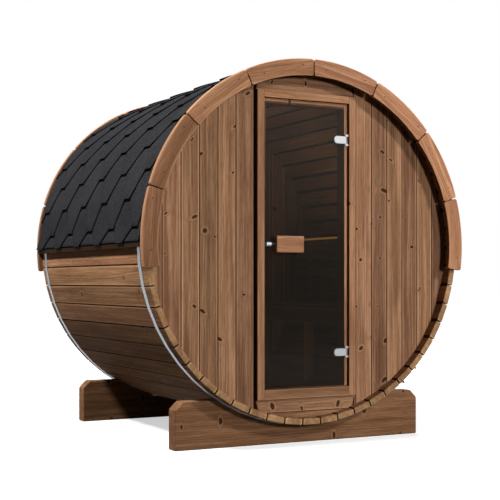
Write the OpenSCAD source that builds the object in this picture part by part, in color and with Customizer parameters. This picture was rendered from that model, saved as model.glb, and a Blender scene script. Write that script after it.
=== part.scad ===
// Barrel sauna: a barrel of timber staves lying on two saddle cradles, with a
// recessed front wall, a framed glass door, two benches and a shingled roof.
// Millimetres. X runs across the barrel, Y from front to back, Z up from the ground.

/* [Barrel] */
// Length of the barrel over both trim rings
barrel_l = 1800; // [1500:50:2400]
// Barrel axis to the outer face of a stave
stave_r = 1004; // [900:2:1210]
// Thickness of a stave
stave_t = 38; // [30:1:48]
// Number of staves round the barrel
stave_count = 54; // [42, 54, 66]
// Bevel along the outer edges of a stave
stave_bevel = 3; // [1:0.5:5]
// Gap between neighbouring staves
stave_gap = 0.4; // [0.3:0.1:1]

/* [Trim rings] */
// Width of a trim board, measured outwards
trim_w = 94; // [70:2:110]
// Thickness of a trim board
trim_t = 28; // [18:1:36]
// How far the trim ring stands out past the staves
trim_over = 26; // [24:1:40]
// Angle that one trim board covers
trim_step = 24.5; // [23:0.5:26]
// Gap between the ends of two trim boards
trim_gap = 4; // [1:1:8]

/* [End walls] */
// Depth of the wall's face behind the ends of the staves
wall_recess = 60; // [45:1:90]
// Thickness of the end walls
wall_t = 40; // [28:1:48]
// Depth of the groove in the staves that holds the walls
croze_d = 8; // [4:1:12]

/* [Door frame] */
// Outer width of the door frame
frame_w = 638; // [560:2:770]
// Top of the door frame above the barrel's axis
frame_top = 851; // [700:1:860]
// Bottom of the door frame below the barrel's axis
frame_bottom = 858; // [700:1:870]
// Face width of the side posts
jamb_face = 43; // [30:1:60]
// Face height of the head
head_face = 41; // [30:1:60]
// Face height of the sill
sill_face = 55; // [35:1:80]
// Depth of the frame from front to back
frame_d = 100; // [80:1:140]
// How far the frame stands proud of the wall
frame_proud = 18; // [8:1:30]
// Width of the stop strips at the sides
side_stop = 22; // [16:1:30]
// Height of the stop strip under the head
head_stop = 28; // [24:1:40]
// Height of the stop strip on the sill
sill_stop = 14; // [12:1:24]

/* [Glass door] */
// Thickness of the glass
glass_t = 8; // [6:1:10]
// Depth of the glass behind the face of the frame
glass_set = 10; // [6:1:20]
// Gap between the glass and the frame on the closing side
close_gap = 6; // [5:1:10]
// Gap between the glass and the frame on the hinge side
hinge_gap = 27; // [25:1:32]
// Gap above the glass
top_gap = 19; // [8:1:22]
// Gap below the glass
foot_gap = 6; // [5:1:10]
// Gap between the closed glass and the stops
stop_gap = 5; // [5:1:8]

/* [Hinges and handle] */
// Height of each hinge above and below the middle of the glass
hinge_rise = 605; // [400:5:650]
// Length of the hinge clamp along the glass
clamp_l = 72; // [60:1:90]
// Height of the hinge clamp
clamp_h = 41; // [36:1:50]
// Thickness of the hinge clamp's front plate
clamp_t = 8; // [6:1:9]
// Thickness of the hinge clamp's back plate
clamp_back_t = 6; // [4:1:8]
// Height of the hinge plate on the frame
plate_h = 68; // [62:1:80]
// Width of the handle block
handle_w = 172; // [120:2:200]
// Height of the handle block
handle_h = 92; // [60:2:120]
// Thickness of the handle block
handle_t = 28; // [20:1:36]
// Gap for the fingers between the handle block and the glass
handle_gap = 12; // [10:1:30]
// Handle block's edge to the closing edge of the glass
handle_inset = 56; // [40:1:90]
// Diameter of the catch
catch_d = 26; // [20:1:28]

/* [Cradles] */
// Width of a cradle across the barrel
cradle_w = 1573; // [1400:10:1700]
// Thickness of a cradle
cradle_t = 88; // [60:1:120]
// Height of a cradle at its ends
cradle_h = 261; // [235:1:320]
// Timber left under the barrel's lowest point
cradle_web = 107; // [80:1:130]
// Bevel at the top corners of a cradle
cradle_bevel = 45; // [20:1:60]
// End of the barrel to the near face of a cradle
cradle_inset = 127.5; // [127.5:0.5:300]

/* [Bands] */
// Width of a steel band
band_w = 36; // [25:1:37]
// Thickness of a steel band
band_t = 1.5; // [1:0.5:3]
// End of the barrel to the near edge of a band
band_inset = 90; // [60:1:90]
// Height of the tightening lugs
lug_h = 46; // [36:1:60]

/* [Roof] */
// Barrel axis to the surface of the shingles, past the staves
roof_t = 18; // [12:1:22]
// Height of the eaves batten
eaves_h = 25; // [18:1:40]
// How far the eaves batten stands out past the staves
eaves_w = 24; // [18:1:30]
// How far the lowest shingles reach past the eaves batten
drip = 14; // [8:1:20]
// Thickness of the shingles' drip edge
drip_t = 6; // [4:1:10]
// Angle above the eaves where the shingles start to flare out
flare_a = 4.8; // [3:0.2:8]

/* [Benches] */
// Barrel axis to the front of the bench
bench_x = 450; // [380:5:520]
// Top of the bench below the barrel's axis
bench_drop = 350; // [300:5:420]
// Thickness of the bench boards
board_t = 28; // [20:1:34]
// Number of boards in a bench seat
seat_boards = 4; // [3:1:6]
// Gap between the bench boards
seat_gap = 12; // [6:1:20]
// Height of the apron under the bench's front edge
apron_h = 89; // [70:1:130]
// Side of the square bench posts
post_w = 45; // [36:1:60]
// Height of the bearers under the bench
bearer_h = 60; // [40:1:70]
// Barrel axis to the front of the backrest
rest_x = 850; // [800:5:860]
// Thickness of the backrest slats
slat_t = 20; // [16:1:28]
// Height of one backrest slat
slat_h = 46; // [30:1:60]
// Distance between backrest slats, centre to centre
slat_pitch = 59.5; // [50:0.5:70]
// Number of backrest slats
slat_count = 6; // [3:1:6]
// Lowest backrest slat below the barrel's axis
rest_drop = 284; // [270:1:290]
// Gap between the top backrest slat and the light strip
light_gap = 28; // [0:1:40]
// Height of the light strip
light_h = 12; // [8:1:20]

/* [Hidden] */
$fn = 240;

// Clearance between fitted timber faces
fit_gap = 0.3;
// Long enough to cut right through any piece
past = 5000;

wood = "peru";
wood_trim = "sienna";
steel = "silver";
shingle = "dimgray";

axis_z = stave_r + cradle_web;
stave_step = 360 / stave_count;
stave_half = stave_step / 2;
inner_r = stave_r - stave_t;
groove_r = inner_r + croze_d;
wall_r = groove_r - fit_gap;
trim_r = stave_r + trim_over;
staves_per_group = stave_count / 6;

// Depths, measured back from the front of the front trim ring
stave_y = trim_t;
stave_l = barrel_l - 2 * trim_t;
wall_y = stave_y + wall_recess;
back_wall_y = barrel_l - wall_y - wall_t;
room_y = wall_y + wall_t;
room_l = back_wall_y - room_y;
frame_y = wall_y - frame_proud;
glass_y = frame_y + glass_set;
glass_back_y = glass_y + glass_t;
stop_y = glass_back_y + stop_gap;

// Doorway and glass, in the plane of the wall
jamb_x = frame_w / 2;
door_x = jamb_x - jamb_face;
head_z = frame_top - head_face;
sill_z = -frame_bottom + sill_face;
glass_left = -door_x + close_gap;
glass_right = door_x - hinge_gap;
glass_top = head_z - top_gap;
glass_foot = sill_z + foot_gap;
glass_mid_z = (glass_top + glass_foot) / 2;

// Hinges
knuckle_r = 4;
pin_r = 2;
pin_clear = 0.05;
knuckle_h = 40;
ear_h = 10;
knuckle_clear = 1.5;
plate_t = stop_gap;
plate_w = 15;
hinge_x = glass_right + 8;
hinge_y = glass_y + 1;
clamp_edge = 1;

// Handle
handle_x = glass_left + handle_inset;
handle_z = glass_mid_z + 4;
spacer_r = 10;
spacer_inset = 40;

// Bands
band_seat = 0.3;
lug_t = 5;
lug_stave = round(47 / stave_step);
lug_a1 = -90 + lug_stave * stave_step;
lug_a2 = lug_a1 - stave_step;
rod_r = 5;
nut_r = 9;
nut_h = 8;
rod_past = 18;
rod_rise = 28;

// Roof
roof_r = stave_r + roof_t;
roof_l = stave_l;
roof_a1 = 36;
roof_a2 = 72;

// Benches
post_inset = 150;
seat_low = bench_drop + board_t;
seat_clear = 6;
seat_back = sqrt(pow(inner_r, 2) - pow(seat_low, 2)) - seat_clear;
seat_board_w = (seat_back - bench_x - (seat_boards - 1) * seat_gap) / seat_boards;
bearer_low = seat_low + bearer_h;
rest_back = rest_x + slat_t;
rest_top = -rest_drop + (slat_count - 1) * slat_pitch + slat_h;
light_low = rest_top + light_gap;

// A profile drawn with X across and Y up, extruded from depth y over a length
module along(y, length) {
    translate([0, y + length, 0])
    rotate([90, 0, 0])
    linear_extrude(height = length)
    children();
}

// Moves from the barrel's own frame (front edge and axis) to the ground frame
module placed() {
    translate([0, -barrel_l / 2, axis_z])
    children();
}

module block(x, y, z, size_x, size_y, size_z) {
    translate([x, y, z])
    cube([size_x, size_y, size_z]);
}

module both_sides() {
    children();
    mirror([1, 0, 0]) children();
}

// Regular polygon whose flats lie like the staves' faces, at the given radius
module stave_polygon(flat_r) {
    corner_r = flat_r / cos(stave_half);
    polygon([for (i = [0 : stave_count - 1])
        let (a = -90 + stave_half + i * stave_step)
        [corner_r * cos(a), corner_r * sin(a)]]);
}

// Wedge between two angles that reaches past everything
module wedge(a1, a2) {
    mid = (a1 + a2) / 2;
    polygon([
        [0, 0],
        [past * cos(a1), past * sin(a1)],
        [past * cos(mid), past * sin(mid)],
        [past * cos(a2), past * sin(a2)]
    ]);
}

module annulus(outer, inner) {
    difference() {
        circle(r = outer);
        circle(r = inner);
    }
}

// ---- staves ----

module stave_profile() {
    side = stave_gap / 2 / cos(stave_half);
    half_out = stave_r * tan(stave_half) - side;
    half_bevel = (stave_r - stave_bevel) * tan(stave_half) - side;
    half_in = inner_r * tan(stave_half) - side;
    polygon([
        [-half_in, inner_r],
        [half_in, inner_r],
        [half_bevel, stave_r - stave_bevel],
        [half_out - stave_bevel, stave_r],
        [-half_out + stave_bevel, stave_r],
        [-half_bevel, stave_r - stave_bevel]
    ]);
}

// One sixth of the barrel: group 0 is the floor, counted anticlockwise
module stave_group(group) {
    first = (group - 0.5) * staves_per_group + 0.5;
    color(wood)
    difference() {
        along(stave_y, stave_l)
        for (i = [0 : staves_per_group - 1])
            rotate(-180 + (first + i) * stave_step)
            stave_profile();
        along(wall_y - fit_gap, wall_t + 2 * fit_gap) circle(r = groove_r);
        along(back_wall_y - fit_gap, wall_t + 2 * fit_gap) circle(r = groove_r);
    }
}

// ---- trim rings ----

module trim_ring(y) {
    gap_a = trim_gap / trim_r * 180 / PI / 2;
    color(wood_trim)
    along(y, trim_t)
    both_sides()
    for (i = [0 : 3])
        intersection() {
            annulus(trim_r, trim_r - trim_w);
            wedge(90 - (i + 1) * trim_step + gap_a, 90 - i * trim_step - gap_a);
        }
}

// ---- end walls ----

module front_wall_side() {
    color(wood)
    along(wall_y, wall_t)
    intersection() {
        circle(r = wall_r);
        translate([jamb_x, -past / 2]) square([past, past]);
    }
}

module front_wall_over_door() {
    color(wood)
    along(wall_y, wall_t)
    intersection() {
        circle(r = wall_r);
        translate([-jamb_x, frame_top]) square([frame_w, past]);
    }
}

module front_wall_under_door() {
    color(wood)
    along(wall_y, wall_t)
    intersection() {
        circle(r = wall_r);
        translate([-jamb_x, -frame_bottom - past]) square([frame_w, past]);
    }
}

module back_wall_half() {
    color(wood)
    along(back_wall_y, wall_t)
    intersection() {
        circle(r = wall_r);
        translate([0, -past / 2]) square([past, past]);
    }
}

// ---- door frame ----

module door_jamb() {
    stop_d = frame_y + frame_d - stop_y;
    color(wood_trim)
    union() {
        block(door_x, frame_y, -frame_bottom, jamb_face, frame_d, frame_bottom + frame_top);
        block(door_x - side_stop, stop_y, sill_z, side_stop, stop_d, head_z - sill_z);
    }
}

module door_head() {
    stop_d = frame_y + frame_d - stop_y;
    stop_x = door_x - side_stop;
    color(wood_trim)
    union() {
        block(-door_x, frame_y, head_z, 2 * door_x, frame_d, head_face);
        block(-stop_x, stop_y, head_z - head_stop, 2 * stop_x, stop_d, head_stop);
    }
}

module door_sill() {
    stop_d = frame_y + frame_d - stop_y;
    stop_x = door_x - side_stop;
    color(wood_trim)
    union() {
        block(-door_x, frame_y, -frame_bottom, 2 * door_x, frame_d, sill_face);
        block(-stop_x, stop_y, sill_z, 2 * stop_x, stop_d, sill_stop);
    }
}

// ---- glass door ----

module door_glass() {
    color("darkslategray", 0.6)
    block(glass_left, glass_y, glass_foot,
        glass_right - glass_left, glass_t, glass_top - glass_foot);
}

// Outline of the clamp, rounded at the end that faces the glass
module clamp_outline() {
    round_r = clamp_h / 2;
    right = glass_right - clamp_edge;
    left = right - clamp_l;
    translate([left + round_r, 0]) circle(r = round_r);
    translate([left + round_r, -round_r]) square([clamp_l - round_r, clamp_h]);
}

module upright_rod(radius, height) {
    translate([hinge_x, hinge_y, -height / 2])
    cylinder(r = radius, h = height);
}

module hinge_clamp(z) {
    web_x = glass_right - clamp_edge - clamp_t;
    color(steel)
    translate([0, 0, z]) {
        difference() {
            union() {
                along(glass_y - clamp_t, clamp_t) clamp_outline();
                upright_rod(knuckle_r, knuckle_h);
                block(web_x, hinge_y - knuckle_r, -knuckle_h / 2,
                    hinge_x - web_x, knuckle_r - 1, knuckle_h);
            }
            upright_rod(pin_r + pin_clear, knuckle_h + 2);
        }
        along(glass_back_y, clamp_back_t) clamp_outline();
    }
}

module hinge_plate(z) {
    ear_z = knuckle_h / 2 + knuckle_clear;
    plate_x = hinge_x + knuckle_r;
    color(steel)
    translate([0, 0, z])
    union() {
        block(plate_x, glass_back_y, -plate_h / 2, plate_w, plate_t, plate_h);
        upright_rod(pin_r, 2 * ear_z + 2 * ear_h);
        for (low = [-ear_z - ear_h, ear_z]) {
            translate([hinge_x, hinge_y, low]) cylinder(r = knuckle_r, h = ear_h);
            block(hinge_x, hinge_y - knuckle_r, low,
                knuckle_r + plate_w, glass_back_y + plate_t - hinge_y + knuckle_r, ear_h);
        }
    }
}

module handle_block(y) {
    color(wood_trim)
    block(handle_x, y, handle_z - handle_h / 2, handle_w, handle_t, handle_h);
}

module handle_spacers() {
    color(steel)
    for (x = [handle_x + spacer_inset, handle_x + handle_w - spacer_inset])
        for (y = [glass_y - handle_gap, glass_back_y])
            translate([x, 0, handle_z])
            along(y, handle_gap)
            circle(r = spacer_r);
}

module door_catch() {
    color(steel)
    translate([glass_left, glass_y - catch_d / 2, handle_z])
    rotate([0, 90, 0])
    cylinder(d = catch_d, h = handle_inset);
}

// ---- cradles and bands ----

module cradle(y) {
    half_w = cradle_w / 2;
    foot = -axis_z;
    top = cradle_h - axis_z;
    color(wood)
    along(y, cradle_t)
    difference() {
        polygon([
            [-half_w, foot],
            [half_w, foot],
            [half_w, top - cradle_bevel],
            [half_w - cradle_bevel, top],
            [-half_w + cradle_bevel, top],
            [-half_w, top - cradle_bevel]
        ]);
        stave_polygon(stave_r + fit_gap);
    }
}

module band(y) {
    color(steel)
    along(y, band_w)
    difference() {
        stave_polygon(stave_r + band_seat + band_t);
        stave_polygon(stave_r + band_seat);
        wedge(lug_a2, lug_a1);
    }
}

module tightener(y) {
    rod_dist = stave_r + rod_rise;
    span = rod_dist * tan((lug_a1 - lug_a2) / 2);
    rotate([0, 90 - (lug_a1 + lug_a2) / 2, 0])
    translate([0, y + band_w / 2, 0])
    union() {
        for (side = [-1, 1]) {
            rotate([0, side * (lug_a1 - lug_a2) / 2, 0])
            block(side > 0 ? -lug_t : 0, -band_w / 2, stave_r + band_seat, lug_t, band_w, lug_h);
            translate([side * span, 0, rod_dist])
            rotate([0, side * 90, 0])
            cylinder(r = nut_r, h = nut_h, $fn = 6);
        }
        translate([-span - rod_past, 0, rod_dist])
        rotate([0, 90, 0])
        cylinder(r = rod_r, h = 2 * (span + rod_past));
    }
}

// ---- roof ----

// Channel under the roof that a band runs through
module band_channel(y) {
    room = 1;
    along(y - room, band_w + 2 * room)
    stave_polygon(stave_r + band_seat + band_t + room);
}

module roof_part(a1, a2) {
    color(shingle)
    difference() {
        along(stave_y, roof_l)
        intersection() {
            difference() {
                circle(r = roof_r);
                stave_polygon(stave_r + fit_gap);
            }
            wedge(a1, a2);
        }
        band_channel(band_inset);
        band_channel(barrel_l - band_inset - band_w);
    }
}

// Lowest roof part, flaring out over the eaves batten to a drip edge
module roof_low() {
    sunk = 2;
    tip = stave_r + eaves_w + drip;
    color(shingle) {
        roof_part(0, roof_a1);
        along(stave_y, roof_l)
        polygon([[roof_r - sunk, 0], [tip, 0], [tip, drip_t],
            [(roof_r - sunk) * cos(flare_a), (roof_r - sunk) * sin(flare_a)]]);
    }
}

module eaves_batten() {
    color(wood_trim)
    difference() {
        along(stave_y, roof_l)
        difference() {
            translate([stave_r - eaves_h, -eaves_h]) square([eaves_h + eaves_w, eaves_h - fit_gap]);
            stave_polygon(stave_r + fit_gap);
        }
        band_channel(band_inset);
        band_channel(barrel_l - band_inset - band_w);
    }
}

// ---- benches ----

module bench_seat() {
    color(wood)
    for (i = [0 : seat_boards - 1])
        block(bench_x + i * (seat_board_w + seat_gap), room_y + fit_gap, -seat_low,
            seat_board_w, room_l - 2 * fit_gap, board_t);
}

module bench_apron() {
    color(wood)
    block(bench_x, room_y + fit_gap, -seat_low - apron_h,
        board_t, room_l - 2 * fit_gap, apron_h);
}

// Depths of the bearers, posts and backrest battens
module at_supports() {
    first = room_y + post_inset;
    last = room_y + room_l - post_inset - post_w;
    for (y = [first, (first + last) / 2, last])
        along(y, post_w)
        intersection() {
            stave_polygon(inner_r - fit_gap);
            children();
        }
}

module bench_bearer() {
    color(wood)
    at_supports()
    translate([bench_x + board_t, -bearer_low]) square([inner_r, bearer_h]);
}

module bench_post() {
    color(wood)
    at_supports()
    translate([bench_x + board_t, -inner_r]) square([post_w, inner_r - bearer_low]);
}

module backrest_slats() {
    color(wood)
    for (i = [0 : slat_count - 1])
        block(rest_x, room_y + fit_gap, -rest_drop + i * slat_pitch,
            slat_t, room_l - 2 * fit_gap, slat_h);
}

module backrest_batten() {
    color(wood)
    at_supports()
    translate([rest_back, -rest_drop]) square([inner_r, rest_drop + light_low + light_h]);
}

module light_strip() {
    color("orange")
    block(rest_x, room_y + fit_gap, light_low, slat_t, room_l - 2 * fit_gap, light_h);
}

placed() stave_group(0);  // staves_floor
placed() stave_group(1);  // staves_low_right
placed() stave_group(2);  // staves_high_right
placed() stave_group(3);  // staves_crown
placed() stave_group(4);  // staves_high_left
placed() stave_group(5);  // staves_low_left
placed() trim_ring(0);  // front_trim
placed() trim_ring(barrel_l - trim_t);  // rear_trim
placed() mirror([1, 0, 0]) front_wall_side();  // front_wall_left
placed() front_wall_side();  // front_wall_right
placed() front_wall_over_door();
placed() front_wall_under_door();
placed() mirror([1, 0, 0]) back_wall_half();  // back_wall_left
placed() back_wall_half();  // back_wall_right
placed() mirror([1, 0, 0]) door_jamb();  // door_jamb_left
placed() door_jamb();  // door_jamb_right
placed() door_head();
placed() door_sill();
placed() door_glass();
placed() hinge_clamp(glass_mid_z + hinge_rise);  // hinge_clamp_top
placed() hinge_clamp(glass_mid_z - hinge_rise);  // hinge_clamp_bottom
placed() hinge_plate(glass_mid_z + hinge_rise);  // hinge_plate_top
placed() hinge_plate(glass_mid_z - hinge_rise);  // hinge_plate_bottom
placed() handle_block(glass_y - handle_gap - handle_t);  // handle_outside
placed() handle_block(glass_back_y + handle_gap);  // handle_inside
placed() handle_spacers();
placed() door_catch();
placed() cradle(cradle_inset);  // cradle_front
placed() cradle(barrel_l - cradle_inset - cradle_t);  // cradle_rear
placed() band(band_inset);  // band_front
placed() band(barrel_l - band_inset - band_w);  // band_rear
placed() color(steel) {  // band_tighteners
    tightener(band_inset);
    tightener(barrel_l - band_inset - band_w);
}
placed() mirror([1, 0, 0]) roof_low();  // roof_low_left
placed() roof_part(180 - roof_a2, 180 - roof_a1);  // roof_high_left
placed() roof_part(roof_a2, 180 - roof_a2);  // roof_ridge
placed() roof_part(roof_a1, roof_a2);  // roof_high_right
placed() roof_low();  // roof_low_right
placed() both_sides() eaves_batten();  // eaves_battens
placed() both_sides() bench_seat();  // bench_seats
placed() both_sides() bench_apron();  // bench_aprons
placed() both_sides() bench_bearer();  // bench_bearers
placed() both_sides() bench_post();  // bench_posts
placed() both_sides() backrest_slats();
placed() both_sides() backrest_batten();  // backrest_battens
placed() both_sides() light_strip();  // light_strips
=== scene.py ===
# %% [markdown]
# # A barrel sauna
# A barrel sauna is a barrel big enough to sit in. Long timber staves stand edge to
# edge round a circle, two steel bands pull them tight, and the whole thing lies on
# two saddle-shaped cradles. This lesson dresses a measured model of it: the boards
# are rebuilt with their own grain and eased edges, in the places the model gives.
# We could paint the plain solids instead, but rounded edges and separate boards are
# what make timber look like timber.

# %% Load the measured model
import random
from math import cos, pi, radians, sin, sqrt, tan

import bmesh
import bpy
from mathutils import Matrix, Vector


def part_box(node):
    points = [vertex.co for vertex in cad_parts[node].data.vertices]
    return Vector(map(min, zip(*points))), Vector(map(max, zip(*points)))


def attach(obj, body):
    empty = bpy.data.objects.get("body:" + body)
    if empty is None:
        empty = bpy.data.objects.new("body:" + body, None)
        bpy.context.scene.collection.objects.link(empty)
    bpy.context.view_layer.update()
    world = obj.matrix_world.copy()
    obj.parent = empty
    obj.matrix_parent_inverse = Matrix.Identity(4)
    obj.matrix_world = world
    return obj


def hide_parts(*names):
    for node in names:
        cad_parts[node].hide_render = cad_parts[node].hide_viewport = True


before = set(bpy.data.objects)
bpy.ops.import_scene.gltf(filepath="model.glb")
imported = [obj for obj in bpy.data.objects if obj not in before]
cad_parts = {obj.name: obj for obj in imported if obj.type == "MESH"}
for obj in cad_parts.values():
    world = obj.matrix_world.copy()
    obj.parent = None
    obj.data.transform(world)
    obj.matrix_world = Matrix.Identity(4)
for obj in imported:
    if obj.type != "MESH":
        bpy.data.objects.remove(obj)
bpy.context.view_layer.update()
random.seed(7)
print("pieces in the model:", len(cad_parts))

# %% [markdown]
# ## Reading the sizes
# Most sizes are read from the model. The staves give the barrel's axis and radius, the
# trim rings give its two ends, and the walls give the depth of the porch. What a box
# can't show is typed, such as the staves' thickness. `depth_of` returns where a piece
# starts and stops from front to back, `span_of` from side to side, and `rise_of` upwards.

# %% Main sizes
def depth_of(node):
    return [corner.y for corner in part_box(node)]


def span_of(node):
    return [corner.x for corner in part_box(node)]


def rise_of(node):
    return [corner.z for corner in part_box(node)]


stave_low = rise_of("staves_floor")[0]
stave_top = rise_of("staves_crown")[1]
AXIS_Z = (stave_low + stave_top) / 2
STAVE_R = (stave_top - stave_low) / 2
STAVE_COUNT = 54
STAVE_STEP = 2 * pi / STAVE_COUNT
STAVE_T = 0.038
RING_R = rise_of("front_trim")[1] - AXIS_Z
STAVE_FRONT, STAVE_BACK = depth_of("staves_floor")
RING_FRONT = depth_of("front_trim")[0]
WALL_FRONT, WALL_BACK = depth_of("front_wall_left")
GROOVE_R = rise_of("back_wall_left")[1] - AXIS_Z
print("barrel radius", round(STAVE_R, 3), "axis height", round(AXIS_Z, 3))

# %% [markdown]
# ## A short way to write materials
# A procedural material is a graph of small nodes. Wiring each one by hand takes four
# lines, so this little class does it in one: `add` makes a node and fills its inputs
# with numbers or with the outputs of other nodes. The short names are the ones we use
# most: `times`, `plus` and `scaled` do sums, `step` and `fade` turn a value into a soft
# mask, and `coat` lays one colour over another where a mask says so.

# %% Material helper
class Shader:
    def __init__(self, name):
        self.material = bpy.data.materials.new(name)
        self.material.use_nodes = True
        self.tree = self.material.node_tree
        self.tree.nodes.clear()
        self.surface = self.tree.nodes.new("ShaderNodeBsdfPrincipled")
        output = self.tree.nodes.new("ShaderNodeOutputMaterial")
        self.tree.links.new(self.surface.outputs[0], output.inputs[0])

    def fill(self, node, inputs):
        for key, value in inputs.items():
            if isinstance(value, bpy.types.NodeSocket):
                self.tree.links.new(value, node.inputs[key])
            else:
                node.inputs[key].default_value = value
        return node

    def add(self, kind, inputs, out=0, **settings):
        node = self.tree.nodes.new("ShaderNode" + kind)
        for key, value in settings.items():
            setattr(node, key, value)
        return self.fill(node, inputs).outputs[out]

    def maths(self, operation, first, second=0.0, third=0.0):
        return self.add("Math", {0: first, 1: second, 2: third}, operation=operation)

    def times(self, first, second):
        return self.maths("MULTIPLY", first, second)

    def plus(self, first, second):
        return self.maths("ADD", first, second)

    def scaled(self, value, by, start):
        return self.maths("MULTIPLY_ADD", value, by, start)

    def length(self, across, up):
        return self.maths("SQRT", self.plus(self.times(across, across), self.times(up, up)))

    def reshuffled(self, tone, by):
        """A fresh random number made from a board's own one."""
        return self.maths("FRACT", self.times(tone, by))

    def vector(self, operation, first, second):
        return self.add("VectorMath", {0: first, 1: second}, operation=operation)

    def blend(self, amount, first, second):
        return self.add("MixRGB", {0: amount, 1: first, 2: second})

    def coat(self, body, colour, mask, amount):
        return self.blend(self.times(mask, amount), body, colour)

    def step(self, value, low, high):
        """0 below low, 1 above high, and smooth between."""
        return self.add("MapRange", {0: value, 1: low, 2: high}, interpolation_type="SMOOTHSTEP")

    def fade(self, value, low, high):
        """1 below low, 0 above high, and smooth between."""
        return self.maths("SUBTRACT", 1.0, self.step(value, low, high))

    def split(self, value, kind="ShaderNodeSeparateXYZ"):
        node = self.tree.nodes.new(kind)
        self.tree.links.new(value, node.inputs[0])
        return node.outputs

    def where(self):
        """The point being shaded, in metres."""
        return self.add("TexCoord", {}, out="Object")

    def noise(self, place, scale, detail=3.0):
        return self.add("TexNoise", {"Vector": place, "Scale": scale, "Detail": detail})

    def streaks(self, place, along, across, detail):
        """Noise drawn out along the board."""
        return self.noise(self.vector("MULTIPLY", place, (along, across, across)), 1.0, detail)

    def cells(self, place, scale, dimensions="3D", **inputs):
        node = self.tree.nodes.new("ShaderNodeTexVoronoi")
        node.voronoi_dimensions = dimensions
        return self.fill(node, {"Vector": place, "Scale": scale, **inputs})

    def attribute(self, name, out="Fac"):
        return self.add("Attribute", {}, out=out, attribute_name=name)

    def bump(self, height, strength, distance):
        normal = self.add("Bump", {"Height": height, "Strength": strength, "Distance": distance})
        self.tree.links.new(normal, self.surface.inputs["Normal"])

    def finish(self, inputs):
        self.fill(self.surface, inputs)
        return self.material


def shade(red, green, blue):
    return (red, green, blue, 1.0)


def toned(colour, times):
    """The same colour, lighter or darker."""
    return shade(*(min(1.0, times * part) for part in colour[:3]))


# %% [markdown]
# ## Heat-treated timber
# The boards are softwood that has been baked until it turns brown all the way
# through. What the eye reads as wood is a stack of patterns at very different sizes:
# growth rings cut at a slant, pale sapwood along some edges, streaks, fine pores, and
# knots that push the grain aside. Each board carries its own coordinates: "grain"
# runs along the board, across it and into it, in metres, and "tone" is a random
# number, so that no two boards repeat. Rings are the distance from a pith line that
# lies just under the board, which gives the long pointed arches of sawn planks.

# %% Timber
KNOT_CELL = (4.2, 9.0, 1.0)
# the dark brown of knots, also laid as painted shade on the boards' side faces
KNOT_BARK_AND_SIDE_SHADE = shade(0.035, 0.016, 0.008)
KNOT_MASKS = ((0.92, 1.08), (0.25, 0.7), (1.0, 3.4), (1.5, 2.4))
# near black: painted shade along the staves' joints on the inside
PAINTED_SEAM_SHADE = shade(0.006, 0.004, 0.003)
RINGS_PER_METRE = 150.0
MATT = 0.008


def knots(s, place, knottiness):
    """Masks for the knots, their centres, the grain that they disturb and a pale collar."""
    cells = s.vector("MULTIPLY", place, KNOT_CELL)
    spot = s.cells(cells, 1.0, "2D", Randomness=0.5)
    offset = s.vector("DIVIDE", s.vector("SUBTRACT", cells, spot.outputs["Position"]), KNOT_CELL)
    luck = s.split(spot.outputs["Color"], "ShaderNodeSeparateColor")
    shift = s.split(offset)
    # wide knots droop at both ends, because the saw met the branch at a slant
    droop = s.times(s.times(shift[1], shift[1]), 3.5)
    along = s.plus(shift[0], droop)
    across = s.maths("DIVIDE", shift[1], s.scaled(luck[2], 1.1, 0.8))
    ragged = s.scaled(s.noise(place, 170.0), 0.007, -0.0035)
    away = s.plus(s.length(along, across), ragged)
    radius = s.scaled(s.times(luck[1], luck[1]), 0.009, 0.0058)
    near = s.maths("DIVIDE", away, radius)
    present = s.maths("LESS_THAN", luck[0], knottiness)
    return [s.times(s.fade(near, low, high), present) for low, high in KNOT_MASKS]


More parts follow.
